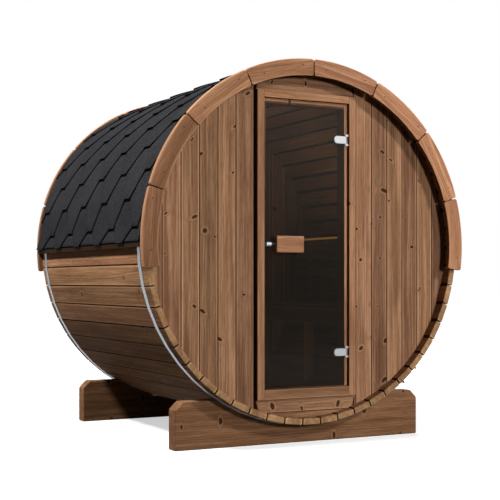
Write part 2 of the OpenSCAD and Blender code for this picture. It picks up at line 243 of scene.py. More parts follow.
def timber(name, pale, brown, dark, knottiness, rough=0.60, sapwood=0.55, cut_end=False,
           shade_inner_edge_only=False, shaded_face_depth=None, side_shade_from=0.975):
    s = Shader(name)
    grain = s.attribute("grain", "Vector")
    tone = s.attribute("tone")
    rim = s.attribute("rim")
    to_edge = s.maths("ABSOLUTE", rim)
    jump = s.add("CombineXYZ", {0: s.times(tone, 41.0), 1: s.times(tone, 17.0), 2: tone})
    place = s.vector("ADD", grain, jump)
    spot = s.split(grain)
    luck = s.reshuffled(tone, 13.7)
    inside, centre, halo, collar = knots(s, place, knottiness)

    # growth rings round a pith line under the board, pushed aside by the knots
    drift = s.streaks(place, 0.9, 2.0, 2.0)
    across = s.plus(s.plus(spot[1], s.scaled(luck, 0.12, -0.06)), s.scaled(drift, 0.07, -0.035))
    below = s.plus(spot[2], s.scaled(tone, 0.05, 0.03))
    swirl = s.times(halo, 0.012)
    uneven = s.times(s.streaks(place, 2.0, 60.0, 2.0), 0.006)
    pith = s.plus(s.plus(s.length(across, below), swirl), uneven)
    ring = s.maths("FRACT", s.times(pith, RINGS_PER_METRE))
    late = s.times(s.step(ring, 0.3, 0.86), s.fade(ring, 0.9, 1.0))

    streak = s.streaks(place, 1.3, 42.0, 5.0)
    patch = s.streaks(place, 1.4, 9.0, 3.0)
    pores = s.streaks(place, 16.0, 420.0, 3.0)
    lines = s.streaks(place, 2.6, 150.0, 2.0)

    body = s.blend(s.step(streak, 0.40, 0.62), brown, pale)
    body = s.coat(body, dark, s.step(patch, 0.46, 0.70), 0.50)
    body = s.coat(body, dark, late, 0.75 if cut_end else 0.38)
    body = s.coat(body, dark, s.step(pores, 0.48, 0.66), 0.42)
    body = s.coat(body, dark, s.step(lines, 0.56, 0.64), 0.28)
    edge = s.plus(to_edge, s.scaled(streak, 0.4, -0.2))
    sap = s.times(s.step(edge, 0.74, 0.92), s.times(luck, sapwood))
    body = s.blend(sap, body, toned(pale, 1.3))
    # painted highlight: a pale band along the eased edges, where they catch the light
    body = s.coat(body, pale, s.step(to_edge, 0.90, 0.97), 0.45)
    body = s.coat(body, dark, halo, 0.34)
    body = s.coat(body, toned(pale, 1.15), collar, 0.42)
    # painted shade: the narrow side faces are darkened where shade falls in joints and recesses
    side = s.times(rim, -1.0) if shade_inner_edge_only else to_edge
    body = s.coat(body, KNOT_BARK_AND_SIDE_SHADE, s.step(side, side_shade_from, 0.999), 0.80)
    if shaded_face_depth:
        # painted shade: the faces towards the room are darkened, and nearly black beside the
        # joints
        lip = s.step(s.times(spot[2], -1.0), shaded_face_depth - 0.0030, shaded_face_depth)
        seam_shade = s.times(lip, s.step(to_edge, 0.82, 0.88))
        body = s.coat(body, dark, lip, 0.42)
        body = s.coat(body, PAINTED_SEAM_SHADE, seam_shade, 0.95)
    body = s.coat(body, KNOT_BARK_AND_SIDE_SHADE, inside, 0.95)
    body = s.coat(body, dark, centre, 0.30)
    value = s.scaled(s.reshuffled(tone, 5.3), 0.42, 0.75)
    # bright lightens or darkens a whole board, set part by part: painted light and shade
    value = s.times(value, s.plus(s.attribute("bright"), 1.0))
    warmth = s.scaled(s.reshuffled(tone, 9.1), 0.006, 0.4935)
    body = s.add("HueSaturation", {"Hue": warmth, "Value": value, "Color": body})

    height = s.plus(s.times(late, 0.5), s.times(pores, 0.7))
    height = s.maths("SUBTRACT", height, s.times(inside, 0.8))
    s.bump(height, 0.35, 0.0009)
    gloss = s.scaled(streak, 0.16, rough - 0.08)
    gloss = s.maths("SUBTRACT", gloss, s.times(inside, 0.12))
    return s.finish({"Base Color": body, "Roughness": gloss, "Specular IOR Level": MATT})


STAVE_WOOD = timber("stave_wood", shade(0.56, 0.312, 0.158), shade(0.40, 0.205, 0.097),
                    shade(0.12, 0.054, 0.025), knottiness=0.42, shaded_face_depth=STAVE_T / 2 - 0.001,
                    side_shade_from=0.91)
WALL_WOOD = timber("wall_wood", shade(0.43, 0.240, 0.130), shade(0.315, 0.162, 0.083),
                   shade(0.095, 0.042, 0.020), knottiness=0.62, sapwood=0.85, side_shade_from=0.95)
# the trims darken only their inner edge: painted shade in the porch's recess
TRIM_WOOD = timber("trim_wood", shade(0.58, 0.310, 0.165), shade(0.455, 0.225, 0.113),
                   shade(0.15, 0.062, 0.028), knottiness=0.03, shade_inner_edge_only=True)
FRAME_WOOD = timber("frame_wood", shade(0.56, 0.300, 0.160), shade(0.44, 0.220, 0.112),
                    shade(0.16, 0.068, 0.031), knottiness=0.42)
CRADLE_WOOD = timber("cradle_wood", shade(0.335, 0.177, 0.087), shade(0.235, 0.118, 0.056),
                     shade(0.09, 0.039, 0.017), knottiness=0.55, rough=0.66)
BENCH_WOOD = timber("bench_wood", shade(0.46, 0.285, 0.165), shade(0.34, 0.195, 0.105),
                    shade(0.13, 0.066, 0.034), knottiness=0.22)
END_WOOD = timber("end_grain", shade(0.58, 0.370, 0.185), shade(0.44, 0.260, 0.122),
                  shade(0.20, 0.100, 0.040), knottiness=0.0, rough=0.72, cut_end=True)
print("materials so far:", len(bpy.data.materials))

# %% [markdown]
# ## Metal, glass, shingle and the rest
# Galvanised steel shows the frost-like pattern of zinc crystals, so its roughness is
# broken up cell by cell. Satin stainless steel has fine scratches along one way.
# Shingles are bitumen with crushed stone pressed into it: matt, nearly black, with a
# sparkle of lighter grains. The door is smoked glass: a brown tint with a painted
# reflection that lightens it towards the top, and a few percent of milky surface that
# stands in for the bright sky such glass mirrors. Each is a graph, with no picture behind it.

# %% Metals
CRYSTALS_PER_METRE = 190.0


def steel(name, colour, rough, stretch, crystals):
    s = Shader(name)
    where = s.where()
    scratch = s.noise(s.vector("MULTIPLY", where, stretch), 1.0, 2.0)
    cell = s.cells(where, CRYSTALS_PER_METRE)
    grey = s.add("RGBToBW", {0: cell.outputs["Color"]})
    mark = s.blend(crystals, scratch, grey)
    dull = s.scaled(mark, 0.22, rough - 0.11)
    tint = s.coat(colour, toned(colour, 0.72), mark, 0.5)
    s.bump(scratch, 0.08, 0.0004)
    return s.finish({"Base Color": tint, "Metallic": 1.0, "Roughness": dull})


ZINC = steel("galvanised_steel", shade(0.27, 0.29, 0.315), 0.50, (60.0, 400.0, 60.0), 0.7)
SATIN = steel("satin_steel", shade(0.27, 0.27, 0.27), 0.42, (30.0, 30.0, 900.0), 0.1)
DARK_STEEL = steel("dark_steel", shade(0.018, 0.018, 0.020), 0.55, (300.0, 300.0, 300.0), 0.4)

# %% Glass, shingle and light
REFLECTION_FOOT = 0.85
REFLECTION_TOP = 1.95
CLEAR_SHARE = 0.965
GRAINS_PER_METRE = 420.0


def smoked_glass():
    s = Shader("smoked_glass")
    where = s.where()
    ripple = s.scaled(s.noise(where, 1.6), 0.24, -0.12)
    # the tint pales towards the top: a painted reflection of the bright sky
    level = s.step(s.plus(s.split(where)[2], ripple), REFLECTION_FOOT, REFLECTION_TOP)
    tint = s.blend(level, shade(0.215, 0.182, 0.145), shade(0.400, 0.380, 0.340))
    return s.finish({"Base Color": tint, "Roughness": 0.0, "IOR": 1.10,
                     "Transmission Weight": CLEAR_SHARE})


def shingle(name, stone, bitumen):
    s = Shader(name)
    where = s.where()
    grit = s.cells(where, GRAINS_PER_METRE)
    grey = s.add("RGBToBW", {0: grit.outputs["Color"]})
    mixed = s.blend(s.step(grey, 0.25, 0.85), bitumen, stone)
    level = s.scaled(s.noise(where, 3.5), 0.5, 0.70)
    level = s.plus(level, s.times(s.attribute("tone"), 0.16))
    colour = s.add("HueSaturation", {"Value": level, "Color": mixed})
    s.bump(s.maths("SUBTRACT", 1.0, grit.outputs["Distance"]), 0.45, 0.0012)
    return s.finish({"Base Color": colour, "Roughness": 0.93, "Specular IOR Level": MATT})


def glowing():
    s = Shader("warm_light")
    ripple = s.scaled(s.noise(s.where(), 30.0), 0.6, 0.7)
    warm = s.add("HueSaturation", {"Value": ripple, "Color": shade(1.0, 0.46, 0.13)})
    return s.finish({"Base Color": shade(0.9, 0.6, 0.3), "Roughness": 0.4,
                     "Emission Color": warm, "Emission Strength": 0.55})


GLASS = smoked_glass()
SHINGLE = shingle("shingle", shade(0.043, 0.043, 0.047), shade(0.012, 0.012, 0.013))
# the cut edges are black bitumen, made darker still: painted shade under each tab's edge
SHINGLE_EDGE = shingle("shingle_edge", shade(0.004, 0.004, 0.004), shade(0.001, 0.001, 0.001))
GLOW = glowing()
print("materials:", len(bpy.data.materials))

# %% [markdown]
# ## One board
# A board is a swept section: a rectangle whose long corners (its arrises)
# are rounded, drawn out along the board, with the two ends rounded over as well. The
# sweep doesn't know whether it is straight or curved. It calls `place(s, a, b)`, with
# the distance along the board, across it and through it, and whatever that returns is
# where the point goes. A trim board bends the same box round the barrel, and a wall
# board lets its ends follow the circle. The same three numbers become its grain.

# %% Board builder
FLOAT_LAYERS = ("tone", "rim", "bright")
EASE = 0.3


def new_timber():
    work = bmesh.new()
    work.verts.layers.float_vector.new("grain")
    for name in FLOAT_LAYERS:
        work.verts.layers.float.new(name)
    return work


def rounded_section(width, depth, radius, turns=2):
    points = []
    for side_a, side_b, start in ((1, 1, 0), (-1, 1, 90), (-1, -1, 180), (1, -1, 270)):
        for i in range(turns + 1):
            angle = radians(start + 90 * i / turns)
            points.append((side_a * (width / 2 - radius) + radius * cos(angle),
                           side_b * (depth / 2 - radius) + radius * sin(angle)))
    return points


def skin(work, rings):
    """Joins each ring of corners to the next with four-sided faces."""
    faces = []
    count = len(rings[0])
    for one, two in zip(rings, rings[1:]):
        for i in range(count):
            j = (i + 1) % count
            faces.append(work.faces.new((one[i], one[j], two[j], two[i])))
    return faces


def add_board(work, length, width, depth, place, arris=0.003, cuts=1, tone=None, bright=0.0,
              corner=0.0, grain_at=None):
    """Sweeps one board. corner rounds its four corners as seen from the front."""
    grain = work.verts.layers.float_vector["grain"]
    tones, rims, brights = (work.verts.layers.float[name] for name in FLOAT_LAYERS)
    tone = random.random() if tone is None else tone
    lip = arris * EASE
    ends = [(0.0, arris, arris), (lip, lip, lip)]
    if corner:
        ends = [(corner * (1 - sin(radians(turn))),
                 corner * (1 - cos(radians(turn))) + lip * (turn == 90), arris * (turn == 90))
                for turn in (90, 70, 50, 30, 15)]
    margin = max(corner, arris)
    stations = list(ends)
    stations += [(margin + (length - 2 * margin) * i / cuts, 0.0, 0.0) for i in range(cuts + 1)]
    stations += [(length - s, narrow, thin) for s, narrow, thin in reversed(ends)]
    rings = []
    for s, narrow, thin in stations:
        ring = []
        for a, b in rounded_section(width - 2 * narrow, depth - 2 * thin, arris):
            vert = work.verts.new(place(s, a, b))
            vert[grain] = grain_at(s, a, b) if grain_at else (s, a, b)
            vert[tones] = tone
            vert[rims] = 2 * a / width
            vert[brights] = bright
            ring.append(vert)
        rings.append(ring)
    skin(work, rings)
    work.faces.new(list(reversed(rings[0]))).material_index = 1
    work.faces.new(rings[-1]).material_index = 1


def straight(origin, along, across, through):
    return lambda s, a, b: origin + along * s + across * a + through * b


def put_down(name, work, materials):
    mesh = bpy.data.meshes.new(name)
    work.to_mesh(mesh)
    work.free()
    for material in materials:
        mesh.materials.append(material)
    piece = bpy.data.objects.new(name, mesh)
    bpy.context.scene.collection.objects.link(piece)
    return piece


def settle(name, work, body, nodes, materials):
    """Turns the work into a finished piece that stands for its nodes and rides on a body."""
    bmesh.ops.recalc_face_normals(work, faces=work.faces)
    piece = put_down(name, work, materials)
    piece.data.shade_smooth()
    weighted = piece.modifiers.new("even shading", "WEIGHTED_NORMAL")
    weighted.weight = 90
    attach(piece, body)
    if nodes:
        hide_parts(*nodes)
    return piece


def round_place(radius, angle, y):
    """A point on the barrel: angle 0 is the right-hand side and a quarter turn is the top."""
    return Vector((radius * cos(angle), y, AXIS_Z + radius * sin(angle)))


# %% [markdown]
# ## Turned shapes
# Screws, nuts and the door's roller catch are all round, so one function spins a
# profile about an axis, just as a lathe would.

# %% Turned shapes
def turned(work, origin, axis, profile, sides):
    """Spins a profile of (distance along the axis, radius) points about the axis."""
    axis = Vector(axis).normalized()
    first = axis.orthogonal().normalized()
    second = axis.cross(first)
    rings = []
    for along, radius in profile:
        rings.append([work.verts.new(Vector(origin) + axis * along
                                     + (first * cos(2 * pi * i / sides)
                                        + second * sin(2 * pi * i / sides)) * radius)
                      for i in range(sides)])
    skin(work, rings)
    work.faces.new(list(reversed(rings[0])))
    work.faces.new(rings[-1])


SCREW_RISE = 0.0003


def screw_head(work, origin, axis, radius):
    """A countersunk screw: a flat head a hair proud of the surface, with a socket in it."""
    profile = [(-0.004, radius * 0.6), (-0.0004, radius), (-0.0001, radius * 0.94),
               (-0.0001, radius * 0.45), (-0.0012, radius * 0.40)]
    turned(work, origin, axis, [(along + SCREW_RISE, size) for along, size in profile], 14)


# %% [markdown]
# ## The staves
# A stave is a flat plank whose edges are planed to a slight angle, so that the whole
# ring closes. Its width grows with its distance from the barrel's axis, which the
# `place` function does by scaling across the board. Real staves never sit perfectly
# true, so each is moved in by up to 1.4 mm. The last stave of a real barrel is often
# ripped narrow to close the ring, but here all of them are alike.

# %% Staves
GROUPS = ["staves_floor", "staves_low_right", "staves_high_right",
          "staves_crown", "staves_high_left", "staves_low_left"]
STAVES_EACH = STAVE_COUNT // len(GROUPS)
STAVE_JOINT = 0.0042
STAVE_SKIN = 0.0008
STAVE_DRIFT = 0.0014
def stave_place(angle, centre_r, lift):
    across = Vector((-sin(angle), 0, cos(angle)))
    through = Vector((cos(angle), 0, sin(angle)))

    def place(s, a, b):
        spread = 1 + b / centre_r
        return (Vector((0, STAVE_FRONT + s, AXIS_Z)) + across * (a * spread)
                + through * (centre_r + b - lift))
    return place


def stave_group(name, first):
    work = new_timber()
    centre_r = STAVE_R - STAVE_T / 2
    width = 2 * centre_r * tan(STAVE_STEP / 2) - STAVE_JOINT
    for i in range(STAVES_EACH):
        angle = -pi / 2 + (first + i) * STAVE_STEP
        place = stave_place(angle, centre_r, random.uniform(0.0, STAVE_DRIFT))
        add_board(work, STAVE_BACK - STAVE_FRONT, width, STAVE_T - STAVE_SKIN, place,
                  arris=0.005, cuts=3)
    settle(name + "_planks", work, "sauna", [name], [STAVE_WOOD, END_WOOD])


for index, group in enumerate(GROUPS):
    stave_group(group, index * STAVES_EACH - STAVES_EACH // 2)
print("staves:", STAVES_EACH * len(GROUPS))

# %% [markdown]
# ## The trim rings
# Each end of the barrel is capped by a ring of curved boards, sawn from wide planks
# and butted end to end down to just below the roof's edge. Their ends are rounded
# over, so a dark notch shows at every joint. The sweep bends a straight board round
# the axis: distance along the board becomes an angle.

# %% Trim rings
# painted light and shade: the boards at the top are lighter and those on the left darker, as light
# falls on the ring
TRIM_LIGHT_AND_SHADE = (0.10, 0.08, 0.10, 0.16, 0.22, 0.02, -0.12, -0.14)
TRIM_STEP = radians(24.5)
TRIM_W = 0.094
TRIM_CORNER = 0.013
TRIM_JOINT = 0.0055
TRIM_SKIN = 0.0006
TRIM_SCREWS = ((0.17, 0.012), (0.80, -0.006))


def arc_place(radius, start, y):
    return lambda s, a, b: round_place(radius + a, start + s / radius, y + b)


def plank_grain(radius, length):
    """Straight grain: curved boards are sawn from straight planks."""
    def grain_at(s, a, b):
        turn = (s - length / 2) / radius
        return ((radius + a) * sin(turn), (radius + a) * cos(turn) - radius, b)
    return grain_at


def trim_ring(name, front, back, outward):
    work = new_timber()
    screws = bmesh.new()
    middle_r = RING_R - TRIM_W / 2
    length = TRIM_STEP * middle_r - TRIM_JOINT
    for i, bright in enumerate(TRIM_LIGHT_AND_SHADE):
        start = pi / 2 + (i - len(TRIM_LIGHT_AND_SHADE) // 2) * TRIM_STEP + TRIM_JOINT / 2 / middle_r
        place = arc_place(middle_r, start, (front + back) / 2)
        add_board(work, length, TRIM_W, back - front - 2 * TRIM_SKIN, place, arris=0.0045,
                  cuts=14, bright=bright, corner=TRIM_CORNER,
                  grain_at=plank_grain(middle_r, length))
        for share, rise in TRIM_SCREWS:
            face = place(length * (share + random.uniform(-0.03, 0.03)), rise, 0)
            face.y = front + TRIM_SKIN / 2 if outward < 0 else back - TRIM_SKIN / 2
            screw_head(screws, face, (0, outward, 0), 0.0042)
    settle(name + "_boards", work, "sauna", [name], [TRIM_WOOD, TRIM_WOOD])
    settle(name + "_screws", screws, "sauna", [], [DARK_STEEL])


trim_ring("front_trim", *depth_of("front_trim"), -1)
trim_ring("rear_trim", *depth_of("rear_trim"), 1)
print("trim boards:", 2 * len(TRIM_LIGHT_AND_SHADE))

# %% [markdown]
# ## The end walls
# The walls are boards dropped into the groove near the ends of the staves. Beside the
# door they stand upright, and over and under it they lie flat. Each board is swept to
# full length, and its ends are then pulled onto the circle of the groove: the farther a
# point is from the middle of the barrel, the shorter the board is there. Left of the
# door a narrow strip fills in beside the post, set back from the other boards and
# painted dark as the shade beside the post.

# %% End walls
WALL_JOINT = 0.0026
SHORTEST = 0.02


def chord(offset):
    return sqrt(max(GROOVE_R ** 2 - offset ** 2, SHORTEST ** 2))


def wall_board(work, low, high, upright, depth, limit=None, bright=0.0):
    """One wall board between two offsets, with both ends on the circle or at a limit."""
    middle, width = (low + high) / 2, high - low - WALL_JOINT
    length = 2 * (limit or chord(min(abs(low), abs(high))))
    y = (depth[0] + depth[1]) / 2

    def place(s, a, b):
        reach = min(length / 2, chord(middle + a))
        t = (s / length - 0.5) * 2 * reach
        if upright:
            return Vector((middle + a, y - b, AXIS_Z + t))
        return Vector((t, y - b, AXIS_Z + middle + a))
    add_board(work, length, width, depth[1] - depth[0], place, arris=0.004, cuts=6,
              bright=bright)


def board_edges(start, stop, pitch):
    """Joints from start outwards to stop, a fixed pitch apart."""
    edges = [start]
    way = 1 if stop > start else -1
    while abs(stop - edges[-1]) > pitch * 1.25:
        edges.append(edges[-1] + way * pitch)
    return edges + [stop]


def wall(name, edges, upright, depth, limit=None, sunk=0.0):
    """A wall of boards. With sunk, the first is a strip set back by that much and painted dark as
    shade.
    """
    work = new_timber()
    if sunk:
        strip = (depth[0] + sunk, depth[1])
        wall_board(work, *sorted(edges[:2]), upright, strip, limit, STRIP_PAINTED_SHADE)
        edges = edges[1:]
    for first, second in zip(edges, edges[1:]):
        wall_board(work, *sorted((first, second)), upright, depth, limit)
    settle(name + "_boards", work, "sauna", [name], [WALL_WOOD, END_WOOD])


BOARD_W, RIGHT_BOARD_W, OVER_BOARD_W, UNDER_BOARD_W = 0.109, 0.1075, 0.09, 0.075
STRIP_W, RIGHT_STRIP_W = 0.015, 0.013
# the strip is darkened by 80 percent: painted shade beside the door post
STRIP_SUNK, STRIP_PAINTED_SHADE = 0.018, -0.8
FRAME_X = span_of("door_jamb_right")[1]
FRAME_FOOT, FRAME_TOP = (z - AXIS_Z for z in rise_of("door_jamb_left"))
EDGE = GROOVE_R - 0.001
front_depth = (WALL_FRONT, WALL_BACK)
back_depth = depth_of("back_wall_left")
left_edges = board_edges(-FRAME_X - STRIP_W, -EDGE, BOARD_W)
right_edges = board_edges(FRAME_X + RIGHT_STRIP_W, EDGE, RIGHT_BOARD_W)
wall("front_wall_left", [-FRAME_X] + left_edges, True, front_depth, sunk=STRIP_SUNK)
wall("front_wall_right", [FRAME_X] + right_edges, True, front_depth)
wall("front_wall_over_door", board_edges(FRAME_TOP, EDGE, OVER_BOARD_W), False, front_depth,
     FRAME_X)
wall("front_wall_under_door", board_edges(FRAME_FOOT, -EDGE, UNDER_BOARD_W), False, front_depth,
     FRAME_X)
wall("back_wall_left", board_edges(0.0, -EDGE, BOARD_W), True, back_depth)
wall("back_wall_right", board_edges(0.0, EDGE, BOARD_W), True, back_depth)
print("upright boards:", len(left_edges) + len(right_edges))

# %% [markdown]
# ## The door frame
# Two posts, a head and a sill, planed smooth and a little redder than the wall. Each
# carries a thinner strip set back behind the glass, which is what the door closes
# against. The posts run past the head, so the joint at each corner is upright.

# %% Door frame
GRAIN_AXES = {"x": (0, 2, 1), "y": (1, 0, 2), "z": (2, 0, 1)}


def bar(work, low, high, grain_axis, arris=0.0025, bright=0.0):
    """A straight board filling the box between two corners, its grain along one axis."""
    low, high = Vector(low), Vector(high)
    size, middle = high - low, (low + high) / 2
    basis = [Vector((1, 0, 0)), Vector((0, 1, 0)), Vector((0, 0, 1))]
    length, width, depth = (size[i] for i in GRAIN_AXES[grain_axis])
    along, across, through = (basis[i] for i in GRAIN_AXES[grain_axis])
    place = straight(middle - along * length / 2, along, across, through)
    add_board(work, length, width, depth, place, arris, bright=bright)


def frame_piece(name, grain_axis, boxes, bright):
    work = new_timber()
    for low, high in boxes:
        bar(work, low, high, grain_axis, bright=bright)
    settle(name + "_timber", work, "sauna", [name], [FRAME_WOOD, END_WOOD])


def cross_piece(name, board, stop, bright):
    """The head or the sill. board and stop each run from one height to another."""
    reach, stop_reach = DOOR_X - HAIR, DOOR_X - STOP_W - HAIR
    frame_piece(name, "x", [
        ((-reach, FRAME_FRONT + HAIR, board[0]), (reach, FRAME_BACK, board[1])),
        ((-stop_reach, STOP_FRONT, stop[0]), (stop_reach, FRAME_BACK - HAIR, stop[1]))], bright)


HAIR = 0.0004
STOP_W, STOP_SETBACK, HEAD_STOP, SILL_STOP = 0.022, 0.023, 0.028, 0.014
# painted light and shade, part by part: the posts a little lighter, the head a little darker and
# the sill a third darker
JAMB_PAINTED_LIGHT, HEAD_PAINTED_SHADE, SILL_PAINTED_SHADE = 0.06, -0.04, -0.32
FRAME_FRONT, FRAME_BACK = depth_of("door_head")
STOP_FRONT = FRAME_FRONT + STOP_SETBACK
HEAD_FOOT, HEAD_TOP = rise_of("door_head")
SILL_FOOT, SILL_TOP = rise_of("door_sill")
HEAD_Z = HEAD_FOOT + HEAD_STOP
SILL_Z = SILL_TOP - SILL_STOP
DOOR_X = span_of("door_head")[1]
for side, name in ((-1, "door_jamb_left"), (1, "door_jamb_right")):
    low_z, high_z = rise_of(name)
    post = sorted((side * FRAME_X, side * DOOR_X))
    stop = sorted((side * (DOOR_X - STOP_W), side * DOOR_X - side * HAIR))
    frame_piece(name, "z", [
        ((post[0], FRAME_FRONT, low_z), (post[1], FRAME_BACK, high_z)),
        ((stop[0], STOP_FRONT, SILL_Z + HAIR), (stop[1], FRAME_BACK - HAIR, HEAD_Z - HAIR))],
        JAMB_PAINTED_LIGHT)
cross_piece("door_head", (HEAD_Z, HEAD_TOP - HAIR), (HEAD_FOOT, HEAD_Z - HAIR), HEAD_PAINTED_SHADE)
cross_piece("door_sill", (SILL_FOOT + HAIR, SILL_Z), (SILL_Z + HAIR, SILL_TOP), SILL_PAINTED_SHADE)
print("door opening", round(2 * DOOR_X, 3), "by", round(HEAD_Z - SILL_Z, 3))

# %% [markdown]
# ## The glass door
# Toughened glass has its edges ground to a small bevel, which catches a line of
# light. The hinges and the handle's spacers keep the model's own solids, because their
# shapes are right: a bevel modifier rounds their edges and the steel does the rest. The
# catch and the countersunk screws are small lathe shapes, a profile spun about an axis,
# and a thin black pad keeps each hinge clamp off the glass.

# %% Glass
work = new_timber()
bar(work, *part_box("door_glass"), "z", arris=0.0015)
settle("door_glass_pane", work, "door", ["door_glass"], [GLASS, GLASS])

# %% Door furniture
def dress(node, material, bevel):
    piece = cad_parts[node]
    piece.data.materials.clear()
    piece.data.materials.append(material)
    edge = piece.modifiers.new("eased edges", "BEVEL")
    edge.width = bevel
    edge.segments = 2
    edge.limit_method = "ANGLE"
    edge.angle_limit = radians(40)
    piece.modifiers.new("even shading", "WEIGHTED_NORMAL")


CLAMPS = ("hinge_clamp_top", "hinge_clamp_bottom")
PLATES = ("hinge_plate_top", "hinge_plate_bottom")
for node in CLAMPS + PLATES + ("handle_spacers",):
    dress(node, SATIN, 0.0008)

for name in ("handle_outside", "handle_inside"):
    work = new_timber()
    # the blocks are a tenth lighter than the frame: painted light
    bar(work, *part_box(name), "x", arris=0.004, bright=0.1)
    settle(name + "_block", work, "door", [name], [FRAME_WOOD, FRAME_WOOD])

low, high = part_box("door_catch")
radius = (high.z - low.z) / 2
length = high.x - low.x
centre = (low.x, (low.y + high.y) / 2, (low.z + high.z) / 2)
waist = length * 0.55
work = bmesh.new()
turned(work, centre, (1, 0, 0), [
    (0, radius * 0.86), (0.0012, radius * 0.97), (0.003, radius),
    (waist - 0.001, radius), (waist, radius * 0.93)], 40)
# the part towards the handle is dark steel: painted shade where the handle block shadows it
bright = len(work.faces)
turned(work, centre, (1, 0, 0), [
    (waist, radius * 0.90), (waist + 0.002, radius * 0.90), (waist + 0.0026, radius * 0.98),
    (length - 0.001, radius * 0.98), (length, radius * 0.88)], 40)
work.faces.ensure_lookup_table()
for face in work.faces[bright:]:
    face.material_index = 1
settle("door_catch_roller", work, "door", ["door_catch"], [ZINC, DARK_STEEL])

# %% Hinge screws and pads
CLAMP_SCREWS, CLAMP_REACH, CLAMP_SCREW_R = (0.24, 0.66), 0.072, 0.0045
PLATE_SCREWS, PLATE_INSET, PLATE_SCREW_R = (0.36, 0.64), 0.0075, 0.0035
PLATE_PROUD = 0.005
PAD_T, PAD_REACH, PAD_INSET, PAD_MARGIN = 0.0012, 0.060, 0.005, 0.006


def hinge_screws(name, body, spots, radius):
    work = bmesh.new()
    for spot in spots:
        screw_head(work, spot, (0, -1, 0), radius)
    settle(name, work, body, [], [SATIN])


clamps = [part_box(node) for node in CLAMPS]
plates = [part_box(node) for node in PLATES]
hinge_screws("hinge_clamp_screws", "door",
             [(low.x + CLAMP_REACH * share, low.y, (low.z + high.z) / 2)
              for low, high in clamps for share in CLAMP_SCREWS], CLAMP_SCREW_R)
# each pad is a little wider than its clamp, so that a thin black line shows round it
work = new_timber()
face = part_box("door_glass")[0].y
for low, high in clamps:
    bar(work, (low.x - PAD_INSET, face - PAD_T, low.z - PAD_MARGIN),
        (low.x + PAD_REACH, face, high.z + PAD_MARGIN), "x", arris=0.0005)
settle("hinge_gaskets", work, "door", [], [DARK_STEEL, DARK_STEEL])
hinge_screws("hinge_plate_screws", "sauna",
             [(high.x - PLATE_INSET, STOP_FRONT - PLATE_PROUD, low.z + (high.z - low.z) * share)
              for low, high in plates for share in PLATE_SCREWS], PLATE_SCREW_R)

# %% [markdown]
# ## The cradles
# Each cradle is a heavy timber with a curve sawn out of its top edge, so that the
# barrel can't roll. The curve follows the staves' flats. The outline is drawn once as
# a polygon and pushed through the timber's thickness, with every edge eased. Its grain
# runs along its length, whatever the outline does.

# %% Cradles
SEAT_GAP = 0.0003


def cradle(name):
    low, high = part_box(name)
    bevel = 0.045
    work = new_timber()
    grain = work.verts.layers.float_vector["grain"]
    tones = work.verts.layers.float["tone"]
    outline = [(low.x, low.z), (high.x, low.z), (high.x, high.z - bevel),
               (high.x - bevel, high.z)]
    seat_r = (STAVE_R + SEAT_GAP) / cos(STAVE_STEP / 2)
    seat_half = sqrt(seat_r ** 2 - (AXIS_Z - high.z) ** 2)
    outline.append((seat_half, high.z))
    for k in range(5, -6, -1):
        angle = -pi / 2 + (k - 0.5) * STAVE_STEP
        point = (seat_r * cos(angle), AXIS_Z + seat_r * sin(angle))
        if abs(point[0]) < seat_half - 0.01:
            outline.append(point)
    outline += [(-seat_half, high.z), (low.x + bevel, high.z), (low.x, high.z - bevel)]
    rings = [[work.verts.new((x, y, z)) for x, z in outline] for y in (low.y, high.y)]
    skin(work, rings)
    for ring in rings:
        work.faces.new(ring)
    sharp = [e for e in work.edges if e.calc_length() > 0.01]
    bmesh.ops.bevel(work, geom=sharp, offset=0.004, segments=2, affect="EDGES", clamp_overlap=True)
    tone = random.random()
    middle = (low.y + high.y) / 2
    for vert in work.verts:
        vert[grain] = (vert.co.x, (vert.co.z - low.z) * 0.9, middle - vert.co.y)
        vert[tones] = tone
    for face in work.faces:
        if abs(face.calc_center_median().x) > high.x - 0.02:
            face.material_index = 1
    settle(name + "_timber", work, "sauna", [name], [CRADLE_WOOD, CRADLE_WOOD])


cradle("cradle_front")
cradle("cradle_rear")

# %% [markdown]
# ## Bands and tighteners
# A flat galvanised strip runs right round the staves near each end. Its two ends are
# folded outwards into lugs, and a threaded rod draws them together. The thread is
# modelled as rings along the rod: at this size a true helix would look the same. The
# strip keeps the model's own solid, with its edges eased.

# %% Bands
for node in ("band_front", "band_rear"):
    dress(node, ZINC, 0.0004)

LUG_STAVE = 7
LUG_ANGLE = -pi / 2 + (LUG_STAVE - 0.5) * STAVE_STEP
LUG_LENGTH, LUG_T = 0.046, 0.005
ROD_OFFSET, ROD_END = 0.028, 0.018
THREAD_PITCH, THREAD_R, THREAD_ROOT = 0.003, 0.0050, 0.0044
NUT = [(0, 0.0125), (0.0012, 0.0125), (0.0013, 0.0085), (0.0082, 0.0088), (0.0092, 0.0075)]


def tightener(work, y, width):
    across = Vector((-sin(LUG_ANGLE), 0, cos(LUG_ANGLE)))
    centre = round_place(STAVE_R + ROD_OFFSET, LUG_ANGLE, y)
    half = (STAVE_R + ROD_OFFSET) * tan(STAVE_STEP / 2)
    for side in (-1, 1):
        angle = LUG_ANGLE + side * STAVE_STEP / 2
        out = Vector((cos(angle), 0, sin(angle)))
        back = Vector((sin(angle), 0, -cos(angle))) * side
        foot = round_place(STAVE_R + SEAT_GAP, angle, y) + back * (LUG_T / 2)
        place = straight(foot, out, Vector((0, 1, 0)), back)
        add_board(work, LUG_LENGTH, width, LUG_T, place, arris=0.0012, tone=0.5)
        turned(work, centre + across * side * (half + 0.0002), across * side, NUT, 6)
    start, length = -(half + ROD_END), 2 * (half + ROD_END)
    profile = []
    for i in range(int(length / THREAD_PITCH)):
        profile += [(start + i * THREAD_PITCH, THREAD_R),
                    (start + (i + 0.5) * THREAD_PITCH, THREAD_ROOT)]
    turned(work, centre, across, profile, 12)


